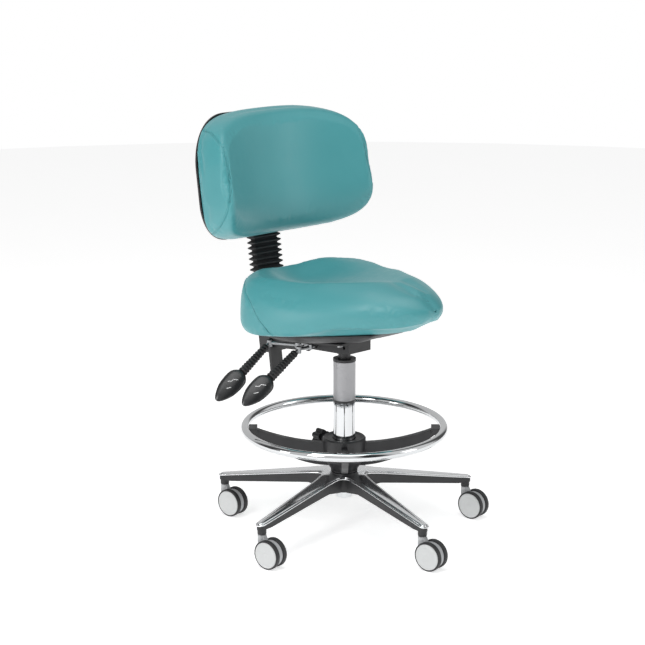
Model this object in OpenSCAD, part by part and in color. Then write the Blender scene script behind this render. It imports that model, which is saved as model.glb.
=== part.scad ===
/* [Star base] */
// Distance from the column axis to each caster stem
stem_reach = 295; // [285:5:305]
// Number of legs and casters
leg_count = 5; // [5]
// Direction of the first leg, measured from +X
first_leg_angle = 46.3; // [40:0.1:50]
// Height of the hub's top
hub_top = 138; // [136:0.5:139]
// Height of a leg's top at the caster stem
leg_tip_top = 99.5; // [97:0.5:102]

/* [Casters] */
// Wheel radius
wheel_r = 32.5; // [30:0.5:33]
// Width of one wheel
wheel_w = 12; // [10:0.5:13]
// Gap between the two wheels of a caster
wheel_gap = 12.5; // [12.5:0.5:14]
// Horizontal distance from a stem to its axle
trail = 24; // [20:1:26]
// Direction in which the casters trail, measured from +X
trail_angle = -80; // [-180:1:180]

/* [Column and gas spring] */
// Outer radius of the column tube
column_r = 25; // [25]
// Height of the column's top lip
column_top = 403; // [400:1:404]
// Radius of the gas cylinder
gas_r = 14; // [14]
// Radius of the piston rod
rod_r = 5; // [4:0.5:6]

/* [Foot ring] */
// Radius of the foot ring, to the tube's centre
ring_r = 225; // [215:1:235]
// Radius of the foot ring's tube
ring_tube_r = 9.5; // [8:0.5:11]
// Height of the foot ring's centre
ring_z = 242; // [240:0.2:250]
// Number of foot-ring arms
arm_count = 4; // [3:1:5]

/* [Seat] */
// Backward slope of the whole seat
seat_slope = 8; // [6:0.5:9]
// Half of the seat's greatest width
seat_half_w = 190; // [180:1:195]
// How far the seat reaches in front of the column
seat_front = 288; // [280:1:295]
// How far the seat reaches behind the column
seat_back = 212; // [205:1:215]

/* [Backrest] */
// Backward lean of the upright
back_lean = 8.2; // [7:0.2:9]
// Width of the backrest
back_w = 434; // [420:1:440]
// Height of the backrest
back_h = 284; // [276:1:300]

/* [Levers] */
// Downward slope of the height lever
lever_slope = 31; // [28:1:32]
// Length of a paddle grip
grip_len = 84; // [80:1:100]

/* [Hidden] */

$fn = 96;
eps = 1;                    // how far a cutter runs past the face it cuts
fit = 0.02;                 // radial play of pieces that are fixed together
run = 0.05;                 // radial play of pieces that turn or slide

// Star base heights. The underside of the hub is the base's reference.
hub_r = 53;
hub_bottom = 94;
leg_wall = 5;               // thickness of the metal leg cover
leg_fall = (hub_top - leg_tip_top) / (stem_reach - hub_r);
leg_end = stem_reach + 14;
trim_inset = 2.5;
boss_bottom = 73;
stem_r = 5.5;
stem_pin_r = 3.5;
stem_step = 66;             // height where the stem steps down to its pin
stem_foot = 46;
stem_head = leg_tip_top - leg_wall + 1;

// Column
taper_top = 150;
taper_draft = 0.6;          // loss of radius over the taper
stub_r = 19;
stub_bottom = 77;
column_floor = 80;
bush_bottom = 290;
bush_r = 23.45;
sleeve_bottom = 308;
sleeve_top = column_top - 6;
neck_r = column_r - 0.7;

// Gas spring
gas_bottom = 112;
gas_taper_bottom = 408;
gas_taper_top = 444;
gas_top = 447;
gas_taper_r = 12.8;
chamber_r = 11;
chamber_top = 424;
piston_z = 322;
pin_r = 4;
pin_bottom = 430;
pin_top = 455;
socket_r = 20;

// Mechanism. The housing's top edge lies on the seat's sloping plane.
plate_z = 446;
plate_t = 4;
plate_half_w = 74;
shell_t = 24;
house_half_w = 33;
house_wall = 3;
house_front = -50;
house_back = 114;
knuckle_y = 88;
knuckle_z = 418;
knuckle_r = 10;
arm_half_w = 17;
pivot_r = 5;
window_half_w = 28;
window_front = -30;
window_back = 70;

// Levers
lever_pivot_x = -25;
lever_pin_r = 3;
lever_hub_r = 4.8;
lever_rod_r = 4;
height_lever_y = 60;
height_lever_z = 426;
angle_lever_y = 103;
angle_lever_z = 422;
angle_grip_y = 160;
angle_lever_slope = 34;
lever_mid_x = -50;
lever_knee_x = -84;
cover_r = 10.4;
cover_root_r = 8.6;
rib_pitch = 9.5;
cover_len = 98;
cover_start = 12;           // clear of the bend at the knee
grip_w = 38;
grip_roll = -40;            // the paddles are rolled, face up and forwards
grip_t = 13;

// Back support. Its frame starts at the upright's lower end and runs up the bar.
upright_y = 232;
upright_z = 320;
bar_w = 34;
bar_t = 8;
bar_len = 505;
back_mid = 475;             // centre of the backrest, measured along the bar
shell_arc_r = 542;
shell_gap = 7;              // from the bar's centre to the shell's back face
shell_wall = 5;
cushion_centre_t = 74;
cushion_arc_r = 340;
bellows_start = 104;
bellows_pitch = 12.6;
bellows_count = 18;
bellows_w = 84;
bellows_d = 34;
pleat_depth = 8.5;

// Foot ring hub
ring_bush_r = 27;
ring_hub_bottom = 143;
ring_hub_top = 219;
arm_start_angle = -42;
arm_t = 14;
arm_tip_r = ring_r - 20;
cradle_r = ring_r - ring_tube_r - 0.05;
knob_angle = 93;
knob_z = 200;

// ---- helpers ----

module at_legs() {
    for (k = [0:leg_count - 1])
        rotate([0, 0, first_leg_angle + 360 / leg_count * k]) children();
}

module at_stem(k) {
    rotate([0, 0, first_leg_angle + 72 * (k - 1)]) translate([stem_reach, 0, 0])
        rotate([0, 0, trail_angle - first_leg_angle - 72 * (k - 1)]) children();
}

// Profile drawn in (Y, Z), extruded along X and centred
module side_extrude(w) {
    rotate([90, 0, 90]) translate([0, 0, -w / 2]) linear_extrude(w) children();
}

// A cylinder along X or along Y, centred
module x_cyl(r, l) { rotate([0, 90, 0]) cylinder(r = r, h = l, center = true); }
module y_cyl(r, l) { rotate([90, 0, 0]) cylinder(r = r, h = l, center = true); }

// Rounded rectangle centred on the origin, made of true arcs
module round_rect(w, h, r) {
    square([w - 2 * r, h], center = true);
    square([w, h - 2 * r], center = true);
    for (x = [-1, 1], y = [-1, 1])
        translate([x * (w / 2 - r), y * (h / 2 - r)]) circle(r);
}

// Frame of the seat: z = 0 is the underside of the seat plate
module seat_frame() {
    translate([0, 0, plate_z]) rotate([-seat_slope, 0, 0]) children();
}

// Frame of the back: z runs up the upright, y points backwards
module back_frame() {
    translate([0, upright_y, upright_z]) rotate([-back_lean, 0, 0]) children();
}

// ---- star base ----

// Half-width of a leg in plan at radius r: flared at the hub, straight, then rounded
function leg_half(r) = 11 + 7.2 * pow((leg_end - r) / 150, 0.9) + 5 * pow(max(0, 100 - r) / 52, 2);

// Upright prism over one leg's plan, drawn in by an inset
module leg_prism(inset, from) {
    tip = stem_reach + 3;
    tip_lap = 0.05;
    steps = 14;
    radii = [for (i = [0:steps]) from + (tip - from) * i / steps];
    linear_extrude(80) polygon(concat([for (r = radii) [r, leg_half(r) - inset - tip_lap]],
        [for (i = [steps:-1:0]) [radii[i], inset + tip_lap - leg_half(radii[i])]]));
    translate([tip, 0, 0]) cylinder(r = leg_half(tip) - inset, h = 80);
}

// Top face of the legs, as a height over the radius
function leg_top(r) = hub_top - leg_fall * (r - hub_r);

module star_base() {
    color("gainsboro") difference() {
        intersection() {
            translate([0, 0, hub_bottom - 30]) {
                cylinder(r = 50, h = 80);
                at_legs() leg_prism(0, 30);
            }
            rotate_extrude() polygon([[0, hub_bottom], [27.5, hub_bottom],
                [27.5, hub_top - leg_wall], [hub_r, leg_top(hub_r) - leg_wall],
                [leg_end + eps, leg_top(leg_end) - leg_wall], [leg_end + eps, leg_top(leg_end) - 3],
                [leg_end - 4, leg_top(leg_end - 4)], [hub_r, hub_top], [30, hub_top + 1.5],
                [0, hub_top + 1.5]]);
        }
        translate([0, 0, hub_bottom])
            cylinder(r1 = column_r - taper_draft + fit, r2 = column_r + fit, h = taper_top - hub_bottom);
        translate([0, 0, hub_bottom - eps]) cylinder(r = column_r - taper_draft + fit, h = 2 * eps);
        at_legs() translate([stem_reach, 0, 0]) cylinder(r = stem_r + fit, h = stem_head + fit);
    }
}

// Black infill under each leg, with the socket block for the caster stem
module leg_trims() {
    color("dimgray") at_legs() difference() {
        union() {
            intersection() {
                translate([0, 0, boss_bottom]) leg_prism(trim_inset, 47);
                rotate_extrude() polygon([[40, 100], [83, 106], [275, 83], [leg_end, 83],
                    [leg_end, leg_top(leg_end) - leg_wall - fit], [hub_r, hub_top - leg_wall - fit],
                    [40, hub_top - leg_wall - fit]]);
            }
            translate([stem_reach, 0, boss_bottom]) cylinder(r = 10, h = 12);
        }
        translate([stem_reach, 0, 0]) cylinder(r = stem_r + fit, h = hub_top);
    }
}

module hub_skirt() {
    color("dimgray") translate([0, 0, hub_bottom]) difference() {
        cylinder(r = 29, h = hub_top - leg_wall - hub_bottom - fit);
        translate([0, 0, -eps]) cylinder(r = 27.5 + fit, h = hub_top);
    }
}

module caster_stems() {
    color("silver") at_legs() translate([stem_reach, 0, 0]) {
        translate([0, 0, stem_foot]) cylinder(r = stem_pin_r, h = stem_step - stem_foot + eps);
        translate([0, 0, stem_step]) cylinder(r = stem_r, h = stem_head - stem_step);
    }
}

// ---- casters ----

// Web between the wheels, with the neck that turns on the stem
module caster_yoke() {
    neck_bottom = wheel_r * 2 - 3;
    neck_top = boss_bottom - 2;
    web_w = wheel_gap - 1;
    color("darkgray") difference() {
        union() {
            translate([0, 0, neck_bottom]) cylinder(r = 9.25, h = neck_top - neck_bottom);
            rotate([90, 0, 0]) translate([0, 0, -web_w / 2]) linear_extrude(web_w) {
                intersection() {
                    translate([trail, wheel_r]) circle(wheel_r - 3.5);
                    translate([-30, 9]) square([120, 60]);
                }
                polygon([[-7.5, neck_top - eps], [-7.5, 40], [trail, wheel_r], [8, neck_top - eps]]);
            }
        }
        translate([0, 0, stem_step]) cylinder(r = stem_r + run, h = 20);
        translate([0, 0, stem_foot - 0.5]) cylinder(r = stem_pin_r + run, h = 30);
        translate([trail, 0, wheel_r]) y_cyl(3 + fit, web_w + 2 * eps);
    }
}

module caster_axle() {
    color("silver") translate([trail, 0, wheel_r]) y_cyl(3, wheel_gap + 2 * wheel_w - 5);
}

// One wheel, with a domed cover disc on its outer face; side is -1 or 1
module caster_wheel(side) {
    inner = wheel_gap / 2;
    color("lightgray") translate([trail, 0, wheel_r]) rotate([-90 * side, 0, 0]) difference() {
        translate([0, 0, inner]) rotate_extrude() polygon([[0, 0], [wheel_r - 2, 0], [wheel_r, 2],
            [wheel_r, wheel_w - 2], [wheel_r - 1.5, wheel_w - 0.8], [wheel_r - 3, wheel_w - 0.8],
            [wheel_r - 3.5, wheel_w - 0.3], [wheel_r - 12, wheel_w], [0, wheel_w]]);
        cylinder(r = 3 + run, h = inner + wheel_w - 2);
    }
}

module caster_1_yoke() { at_stem(1) caster_yoke(); }
module caster_1_axle() { at_stem(1) caster_axle(); }
module caster_1_wheel_l() { at_stem(1) caster_wheel(1); }
module caster_1_wheel_r() { at_stem(1) caster_wheel(-1); }
module caster_2_yoke() { at_stem(2) caster_yoke(); }
module caster_2_axle() { at_stem(2) caster_axle(); }
module caster_2_wheel_l() { at_stem(2) caster_wheel(1); }
module caster_2_wheel_r() { at_stem(2) caster_wheel(-1); }
module caster_3_yoke() { at_stem(3) caster_yoke(); }
module caster_3_axle() { at_stem(3) caster_axle(); }
module caster_3_wheel_l() { at_stem(3) caster_wheel(1); }
module caster_3_wheel_r() { at_stem(3) caster_wheel(-1); }
module caster_4_yoke() { at_stem(4) caster_yoke(); }
module caster_4_axle() { at_stem(4) caster_axle(); }
module caster_4_wheel_l() { at_stem(4) caster_wheel(1); }
module caster_4_wheel_r() { at_stem(4) caster_wheel(-1); }
module caster_5_yoke() { at_stem(5) caster_yoke(); }
module caster_5_axle() { at_stem(5) caster_axle(); }
module caster_5_wheel_l() { at_stem(5) caster_wheel(1); }
module caster_5_wheel_r() { at_stem(5) caster_wheel(-1); }

// ---- column and gas spring ----

module column_tube() {
    color("silver") rotate_extrude() polygon([[rod_r + run, stub_bottom], [stub_r, stub_bottom],
        [stub_r, hub_bottom], [column_r - taper_draft, hub_bottom], [column_r, taper_top],
        [column_r, sleeve_bottom - 5], [neck_r, sleeve_bottom - 5], [neck_r, column_top],
        [bush_r + fit, column_top], [bush_r + fit, bush_bottom], [22, bush_bottom], [22, 104],
        [17, 100], [17, column_floor], [rod_r + run, column_floor]]);
}

module column_sleeve() {
    color("silver") translate([0, 0, sleeve_bottom]) difference() {
        cylinder(r = column_r + 0.2, h = sleeve_top - sleeve_bottom);
        translate([0, 0, -eps]) cylinder(r = neck_r + fit, h = column_top);
    }
}

// Lip collar at the column's top and the ring under the sleeve
module column_rings() {
    color("dimgray") difference() {
        union() {
            translate([0, 0, sleeve_bottom - 5]) cylinder(r = column_r + 0.6, h = 5 - fit);
            translate([0, 0, sleeve_top + fit]) cylinder(r = column_r + 1, h = column_top - sleeve_top);
        }
        cylinder(r = neck_r + fit, h = column_top - eps);
        cylinder(r = gas_r + 1.5, h = column_top + 2 * eps);
        translate([0, 0, column_top - 2 * eps]) cylinder(r = neck_r + fit, h = 2 * eps);
    }
}

module guide_bush() {
    color("ivory") translate([0, 0, bush_bottom]) difference() {
        cylinder(r = bush_r, h = column_top - 2 - bush_bottom);
        translate([0, 0, -eps]) cylinder(r = gas_r + run, h = column_top);
    }
}

module thrust_bearing() {
    color("silver") translate([0, 0, column_floor]) difference() {
        cylinder(r = 13, h = 8);
        translate([0, 0, -eps]) cylinder(r = rod_r + run, h = 10);
    }
}

module piston_rod() {
    color("silver") {
        translate([0, 0, stub_bottom - 6]) cylinder(r = rod_r, h = piston_z - stub_bottom + 7);
        translate([0, 0, piston_z]) cylinder(r = chamber_r - 0.06, h = 10);
        translate([0, 0, column_floor + 8 + fit]) cylinder(r = rod_r + 3, h = 3);
    }
}

module rod_clip() {
    color("silver") translate([0, 0, stub_bottom - 3]) difference() {
        cylinder(r = 9, h = 3 - run);
        translate([0, 0, -eps]) cylinder(r = rod_r + fit, h = 5);
    }
}

module gas_cylinder() {
    color("black") rotate_extrude() polygon([[rod_r + run, gas_bottom], [gas_r, gas_bottom],
        [gas_r, gas_taper_bottom], [gas_taper_r, gas_taper_top], [gas_taper_r, gas_top],
        [pin_r + run, gas_top], [pin_r + run, chamber_top], [chamber_r, chamber_top],
        [chamber_r, gas_bottom + 8], [rod_r + run, gas_bottom + 8]]);
}

module release_pin() {
    color("silver") translate([0, 0, pin_bottom]) cylinder(r = pin_r, h = pin_top - pin_bottom);
}

// ---- mechanism ----

module taper_socket() {
    drop = (gas_r - gas_taper_r) / (gas_taper_top - gas_taper_bottom);
    bottom = 416;
    color("dimgray") difference() {
        translate([0, 0, bottom]) cylinder(r = socket_r, h = gas_taper_top - bottom);
        translate([0, 0, gas_taper_bottom])
            cylinder(r1 = gas_r + fit, r2 = gas_taper_r + fit, h = gas_taper_top - gas_taper_bottom);
        translate([0, 0, gas_taper_top - eps])
            cylinder(r = gas_taper_r + drop * eps + fit, h = 2 * eps);
    }
}

// Top edge of the housing at y
function house_top(y) = plate_z - y * tan(seat_slope);

module housing_wall_profile() {
    polygon([[house_front, 426], [-5, 421], [74, 414.5], [house_back - 4, 412],
        [house_back, 415], [house_back, house_top(house_back)], [house_front, house_top(house_front)]]);
    translate([knuckle_y, knuckle_z]) circle(knuckle_r + 1);
}

// A pair of ears that carries a lever's pivot pin
module lever_ears(y, z) {
    for (side = [-1, 1])
        translate([-house_half_w + house_wall - eps, y + side * 8 - 1, z - 6])
            cube([house_half_w - house_wall - 18, 2.4, 12]);
}

module mechanism_housing() {
    floor_t = 3;
    color("dimgray") difference() {
        union() {
            difference() {
                side_extrude(2 * house_half_w) housing_wall_profile();
                side_extrude(2 * (house_half_w - house_wall))
                    polygon([[house_front + house_wall, 425.5 + floor_t], [-5, 421 + floor_t],
                        [74, 414.5 + floor_t], [74, 380], [house_back + eps, 380],
                        [house_back + eps, 480], [house_front + house_wall, 480]]);
            }
            lever_ears(height_lever_y, height_lever_z);
            lever_ears(angle_lever_y, angle_lever_z);
        }
        translate([0, 0, 400]) cylinder(r = socket_r + fit, h = 40);
        translate([0, knuckle_y, knuckle_z]) x_cyl(pivot_r + fit, 80);
        lever_slot(height_lever_y, height_lever_z);
        lever_slot(angle_lever_y, angle_lever_z);
        for (lever = [[height_lever_y, height_lever_z], [angle_lever_y, angle_lever_z]])
            translate([lever_pivot_x, lever[0], lever[1]]) y_cyl(lever_pin_r + fit, 24);
        translate([0, -34, 438]) x_cyl(4, 80);
    }
}

// Opening in the housing's left wall that a lever passes through
module lever_slot(y, z) {
    translate([-house_half_w - eps, y - 5.5, z - 5.5]) cube([house_wall + 2 * eps, 11, 40]);
}

// Back-arm pivot across the housing, and the two lever pivots along it
module pivot_pins() {
    color("silver") {
        translate([0, knuckle_y, knuckle_z]) x_cyl(pivot_r, 2 * house_half_w + 6);
        for (side = [-1, 1])
            translate([side * (house_half_w + 1.5 + fit), knuckle_y, knuckle_z]) x_cyl(8, 3);
        for (lever = [[height_lever_y, height_lever_z], [angle_lever_y, angle_lever_z]])
            translate([lever_pivot_x, lever[0], lever[1]]) y_cyl(lever_pin_r, 19);
    }
}

// Corners of the pattern that fastens the seat to its plate
module at_seat_bolts() {
    for (x = [-60, 60], y = [-50, 70]) translate([x, y, 0]) children();
}

module seat_plate() {
    color("black") seat_frame() difference() {
        translate([0, 10, plate_t / 2]) cube([2 * plate_half_w, 160, plate_t], center = true);
        translate([-window_half_w, window_front, -eps])
            cube([2 * window_half_w, window_back - window_front, plate_t + 2 * eps]);
        at_seat_bolts() translate([0, 0, -eps]) cylinder(r = 3 + fit, h = 10);
    }
}

module seat_bolts() {
    color("silver") seat_frame() at_seat_bolts() {
        translate([0, 0, -4 - fit]) cylinder(r = 6, h = 4);
        translate([0, 0, -fit]) cylinder(r = 3, h = 16);
    }
}

// Half-width of the seat at y: a blunt nose in front, full width over the hips
function seat_half(y) = y < 100
    ? seat_half_w * pow(1 - pow(min(1, (100 - y) / (100 + seat_front)), 1.6), 1 / 1.7)
    : seat_half_w * pow(1 - pow(min(1, (y - 100) / (seat_back - 100)), 2.6), 1 / 2.2);

// Seat outline drawn in by an inset, with the points closer together at both ends
module seat_plan(inset) {
    steps = 26;
    mid = (seat_back - seat_front) / 2;
    half = (seat_back + seat_front) / 2;
    ys = [for (i = [0:steps]) mid + half * cos(180 * i / steps)];
    k = 1 - inset / seat_half_w;
    polygon(concat([for (y = ys) [seat_half(y) * k, mid + (y - mid) * (1 - inset / half)]],
        [for (i = [steps - 1:-1:1]) [-seat_half(ys[i]) * k, mid + (ys[i] - mid) * (1 - inset / half)]]));
}

module seat_shell() {
    color("black") seat_frame() difference() {
        hull() {
            translate([0, 10, plate_t + fit]) linear_extrude(0.1)
                square([2 * plate_half_w + 8, 176], center = true);
            translate([0, 0, plate_t + shell_t - 6]) linear_extrude(6) seat_plan(45);
        }
        translate([-window_half_w - 2, window_front - 4, 0])
            cube([2 * window_half_w + 4, window_back - window_front + 8, 23]);
        at_seat_bolts() cylinder(r = 3 + fit, h = 17);
    }
}

module seat_cushion() {
    base = plate_t + shell_t + 0.3;
    pad_r = 12;
    hollow_r = 180;
    color("cadetblue") difference() {
        hull() {
            seat_frame() translate([0, 0, base]) linear_extrude(1) seat_plan(22);
            seat_frame() translate([0, 0, base + 26]) linear_extrude(14) seat_plan(0);
            // the crest: nose, thigh, hip and rear high points
            for (side = [-1, 1], p = [[16, -265, 574], [20, -215, 606], [45, -155, 606],
                    [95, -85, 596], [145, 0, 578], [142, 100, 582], [95, 192, 575]])
                translate([side * p[0], p[1], p[2] - pad_r]) sphere(pad_r, $fn = 24);
        }
        // the hollow of the seat, deepest towards the back
        hull() for (p = [[-60, 588], [0, 571], [60, 553], [108, 538]])
            translate([0, p[0], p[1] + hollow_r]) sphere(hollow_r, $fn = 48);
    }
}

// ---- levers ----

// Puts children on the sloping part of a lever: z runs down the lever from its knee
module lever_frame(y, z, slope) {
    translate([lever_knee_x, y, z]) rotate([0, 270 - slope, 0]) children();
}

// Round bar between two points
module bar(a, b, r) {
    d = b - a;
    translate(a) rotate([0, atan2(norm([d[0], d[1]]), d[2]), atan2(d[1], d[0])])
        cylinder(r = r, h = norm(d));
}

// Hub that turns on the pivot pin, and the bent bar down into the grip
module lever_bar(y, z, grip_y, slope) {
    bend_r = lever_rod_r + 2;
    difference() {
        union() {
            translate([lever_pivot_x, y, z]) y_cyl(lever_hub_r, 13);
            bar([lever_pivot_x, y, z], [lever_mid_x, y, z], lever_rod_r);
            bar([lever_mid_x, y, z], [lever_knee_x, grip_y, z], lever_rod_r - 0.3);
            translate([lever_mid_x, y, z]) cylinder(r = bend_r, h = 11, center = true);
            translate([lever_knee_x, grip_y, z - 9]) cylinder(r = bend_r, h = 15);
            lever_frame(grip_y, z, slope) cylinder(r = lever_rod_r - 0.1, h = cover_len + grip_len - 20);
        }
        translate([lever_pivot_x, y, z]) y_cyl(lever_pin_r + run, 20);
    }
}

// The finger rises through the seat plate's window and ends just over the release pin
module height_lever_rod() {
    finger_z = pin_top + 0.4;
    color("silver") difference() {
        union() {
            lever_bar(height_lever_y, height_lever_z, height_lever_y, lever_slope);
            translate([-24, 56, height_lever_z - 1]) cube([5, 6, finger_z - height_lever_z + 4]);
            translate([0, 0, finger_z]) linear_extrude(3)
                polygon([[-24, 56], [-24, 62], [-19, 62], [0, 5], [0, -5], [-5, -5]]);
        }
        translate([lever_pivot_x, height_lever_y, height_lever_z]) y_cyl(lever_pin_r + run, 20);
    }
}

module angle_lever_rod() {
    color("silver") lever_bar(angle_lever_y, angle_lever_z, angle_grip_y, angle_lever_slope);
}

// Ribbed rubber cover over the bar
module lever_cover() {
    ribs = floor((cover_len - cover_start - 2) / rib_pitch);
    color("black") difference() {
        union() {
            translate([0, 0, cover_start]) cylinder(r = cover_root_r, h = cover_len - cover_start);
            for (i = [0:ribs - 1])
                translate([0, 0, cover_start + 2 + i * rib_pitch]) cylinder(r = cover_r, h = rib_pitch * 0.55);
        }
        translate([0, 0, -eps]) cylinder(r = lever_rod_r + fit, h = cover_len + 2 * eps);
    }
}

// Paddle grip: wider towards its rounded end
module lever_grip() {
    color("dimgray") difference() {
        translate([0, 0, cover_len + fit]) rotate([0, 0, grip_roll]) rotate([0, 90, 0])
            translate([0, 0, -grip_t / 2]) {
            linear_extrude(grip_t)
                polygon([[0, -9], [-12, -grip_w / 2], [-grip_len + grip_w / 2, -grip_w / 2 + 0.1],
                    [-grip_len + grip_w / 2, grip_w / 2 - 0.1], [-12, grip_w / 2], [0, 9]]);
            translate([-grip_len + grip_w / 2, 0, 0]) cylinder(r = grip_w / 2, h = grip_t);
        }
        cylinder(r = lever_rod_r + fit, h = cover_len + grip_len - 20 + fit);
    }
}

module height_lever_cover() { lever_frame(height_lever_y, height_lever_z, lever_slope) lever_cover(); }
module height_lever_grip() { lever_frame(height_lever_y, height_lever_z, lever_slope) lever_grip(); }
module angle_lever_cover() { lever_frame(angle_grip_y, angle_lever_z, angle_lever_slope) lever_cover(); }
module angle_lever_grip() { lever_frame(angle_grip_y, angle_lever_z, angle_lever_slope) lever_grip(); }

// ---- back support ----

// Arm from its pivot in the housing to the clamp that holds the upright
module back_arm() {
    color("dimgray") difference() {
        union() {
            translate([0, knuckle_y, knuckle_z]) x_cyl(knuckle_r - 0.5, 2 * arm_half_w);
            side_extrude(2 * arm_half_w)
                polygon([[knuckle_y, knuckle_z - 9], [knuckle_y + 40, 398], [232, 385],
                    [232, 408], [knuckle_y + 30, 414], [knuckle_y, knuckle_z + 9]]);
            back_frame() translate([0, 3, 76]) cube([54, 38, 44], center = true);
        }
        translate([0, knuckle_y, knuckle_z]) x_cyl(pivot_r + run, 50);
        back_frame() translate([0, 0, 80])
            cube([bar_w + 2 * run, bar_t + 2 * run, 200], center = true);
        back_frame() translate([0, 0, 76]) rotate([-90, 0, 0]) cylinder(r = 4 + fit, h = 30);
    }
}

// Clamp bolt behind the upright, with its washer
module back_arm_bolts() {
    color("silver") back_frame() translate([0, 0, 76]) rotate([-90, 0, 0]) {
        translate([0, 0, bar_t / 2 + 0.2]) cylinder(r = 4, h = 20);
        translate([0, 0, 22 + fit]) cylinder(r = 8.5, h = 1.6);
        translate([0, 0, 22 + 1.6 + fit]) cylinder(r = 6.5, h = 5, $fn = 6);
    }
}

// Pleated cover round the upright
module bellows() {
    color("black") back_frame() difference() {
        union() {
            translate([0, 0, bellows_start]) linear_extrude(bellows_pitch * bellows_count)
                round_rect(bellows_w - 2 * pleat_depth, bellows_d - 2 * pleat_depth, 3);
            for (i = [0:bellows_count - 1])
                translate([0, 0, bellows_start + (i + 0.25) * bellows_pitch])
                    linear_extrude(bellows_pitch / 2) round_rect(bellows_w, bellows_d, 8);
        }
        translate([0, 0, 200]) cube([bar_w + 4, bar_t + 3, 400], center = true);
    }
}

module back_upright() {
    color("black") back_frame() translate([0, 0, bar_len / 2]) cube([bar_w, bar_t, bar_len], center = true);
}

module at_back_screws() {
    for (x = [-24, 24], z = [-45, 45]) translate([x, 0, back_mid - 20 + z]) children();
}

// Plate between the upright and the backrest's shell
module back_carrier() {
    color("black") back_frame() difference() {
        translate([0, -(bar_t / 2 + 1.45 + fit), back_mid - 20]) cube([64, 2.9, 130], center = true);
        at_back_screws() y_cyl(2.5 + fit, 30);
    }
}

module back_screws() {
    color("silver") back_frame() at_back_screws() {
        translate([0, -7.5, 0]) y_cyl(2.5, 9);
        translate([0, -(bar_t / 2) + 1.5, 0]) y_cyl(5, 3 - fit);
    }
}

// Prism over the backrest's outline, drawn in by an inset; its upper corners are the rounder ones
module back_region(inset) {
    half_w = back_w / 2 - inset;
    half_h = back_h / 2 - inset;
    upper_r = 120 - inset;
    lower_r = 88 - inset;
    translate([0, 0, back_mid]) rotate([90, 0, 0]) translate([0, 0, -40]) linear_extrude(260) {
        for (side = [-1, 1]) {
            translate([side * (half_w - upper_r), half_h - upper_r]) circle(upper_r);
            translate([side * (half_w - lower_r), lower_r - half_h]) circle(lower_r);
        }
        square([2 * (half_w - upper_r), 2 * half_h], center = true);
        translate([lower_r - half_w, -half_h])
            square([2 * (half_w - lower_r), 2 * half_h - upper_r]);
        translate([-half_w, lower_r - half_h])
            square([2 * half_w, 2 * half_h - lower_r - upper_r]);
    }
}

module back_shell() {
    arc_y = -shell_gap - shell_arc_r;
    color("black") back_frame() difference() {
        intersection() {
            back_region(0);
            translate([0, arc_y, 0]) difference() {
                cylinder(r = shell_arc_r, h = 800, $fn = 180);
                translate([0, 0, -eps]) cylinder(r = shell_arc_r - shell_wall, h = 802, $fn = 180);
            }
            translate([-300, -200, 0]) cube([600, 200, 800]);
        }
        at_back_screws() y_cyl(2.5 + fit, 30);
    }
}

module back_cushion() {
    arc_y = -shell_gap - shell_arc_r;
    face_y = -shell_gap - shell_wall - cushion_centre_t;
    side_arc_r = 430;
    wing_y = face_y - 71;
    color("cadetblue") back_frame() intersection() {
        back_region(1.5);
        difference() {
            translate([0, arc_y, 0]) cylinder(r = shell_arc_r - shell_wall - 0.3, h = 800, $fn = 180);
            translate([0, face_y - cushion_arc_r, -eps]) cylinder(r = cushion_arc_r, h = 802, $fn = 144);
        }
        translate([-300, -200, 0]) cube([600, 200, 800]);
        translate([0, wing_y + side_arc_r, back_mid]) x_cyl(side_arc_r, 600, $fn = 144);
    }
}

// ---- foot ring ----

module foot_ring() {
    color("silver") translate([0, 0, ring_z]) rotate_extrude($fn = 180)
        translate([ring_r, 0]) circle(ring_tube_r, $fn = 48);
}

// Side of an arm, drawn in (radius, height)
module arm_profile() {
    start = 34;
    steps = 10;
    rs = [for (i = [0:steps]) start + (arm_tip_r - start) * i / steps];
    polygon(concat([for (r = rs) [r, 206 + 34 * pow((r - start) / (arm_tip_r - start), 2)]],
        [for (i = [steps:-1:0]) [rs[i], 152 + 72 * pow((rs[i] - start) / (arm_tip_r - start), 1.9)]]));
}

module ring_hub() {
    color("dimgray") difference() {
        union() {
            rotate_extrude() polygon([[0, ring_hub_bottom], [29.5, ring_hub_bottom], [45, 165],
                [49, 208], [49, ring_hub_top - 3], [46, ring_hub_top], [38, ring_hub_top - 3],
                [0, ring_hub_top - 5]]);
            for (k = [0:arm_count - 1]) rotate([0, 0, arm_start_angle + 360 / arm_count * k]) {
                rotate([90, 0, 0]) translate([0, 0, -arm_t / 2]) linear_extrude(arm_t) arm_profile();
                intersection() {
                    translate([cradle_r - 18, -17.5, ring_z - 15]) cube([20, 35, 15]);
                    cylinder(r = cradle_r, h = 300);
                }
            }
            rotate([0, 0, knob_angle]) translate([40, 0, knob_z]) rotate([0, 90, 0]) cylinder(r = 11, h = 24);
        }
        cylinder(r = ring_bush_r + run, h = 300);
        rotate([0, 0, knob_angle]) translate([0, 0, knob_z]) rotate([0, 90, 0]) cylinder(r = 4 + run, h = 80);
    }
}

// Plastic bush that slides on the column and carries the hub on its flange
module ring_bush() {
    color("dimgray") translate([0, 0, ring_hub_bottom - 2.6]) difference() {
        union() {
            cylinder(r = ring_bush_r, h = ring_hub_top - 3 - ring_hub_bottom);
            cylinder(r = 30.5, h = 2.5);
        }
        translate([0, 0, -4]) cylinder(r = column_r + run, h = 100);
    }
}

// Lobed clamp knob with its screw
module clamp_knob() {
    color("dimgray") rotate([0, 0, knob_angle]) translate([0, 0, knob_z]) rotate([0, 90, 0]) {
        translate([0, 0, 28]) cylinder(r = 4, h = 42);
        translate([0, 0, 65]) linear_extrude(21) {
            circle(15);
            for (k = [0:5]) rotate(60 * k) translate([14, 0]) circle(6);
        }
    }
}

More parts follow.
